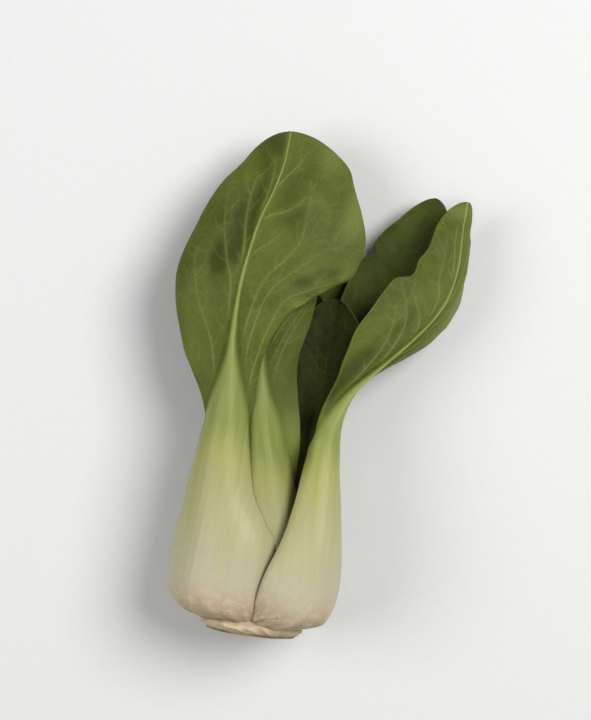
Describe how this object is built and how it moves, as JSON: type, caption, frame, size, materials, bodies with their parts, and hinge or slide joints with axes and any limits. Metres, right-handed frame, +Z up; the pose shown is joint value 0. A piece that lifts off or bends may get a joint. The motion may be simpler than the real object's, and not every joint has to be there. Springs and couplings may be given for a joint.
{
  "type": "bok choy head",
  "caption": "Whole head of bok choy lying on its back: broad pale stalks wrapped into a bulb, rounded green blades folded and fanned at the top.",
  "frame": {"origin": "middle of the small flat under the back stalk that the head lies on", "axes": "+Y from the root end to the leaf tips, +Z up out of the surface it lies on, +X across the head"},
  "size_m": [0.134, 0.2329, 0.064],
  "materials": {
    "stalk": "waxy pale green-white leaf stalk, satin",
    "inner_stalk": "waxy light green leaf stalk, satin",
    "blade": "mid-green leaf underside with pale veins, satin",
    "inner_blade": "dark green leaf upper side, slightly glossy",
    "root_stem": "cut root end, tan and rough"
  },
  "bodies": {
    "root": {"root_stem": "root_stem", "stalk_front_right": "stalk", "blade_front_right": "blade", "stalk_front_left": "stalk", "blade_front_left": "blade", "stalk_back_middle": "stalk", "blade_back_middle": "blade", "stalk_front_middle": "inner_stalk", "blade_front_middle": "inner_blade", "stalk_back_left": "inner_stalk", "blade_back_left": "inner_blade", "stalk_back_right": "inner_stalk", "blade_back_right": "inner_blade", "stalk_heart_right": "inner_stalk", "blade_heart_right": "inner_blade", "stalk_heart_left": "inner_stalk", "blade_heart_left": "inner_blade", "stalk_heart_back": "inner_stalk", "blade_heart_back": "inner_blade"}
  },
  "joints": []
}
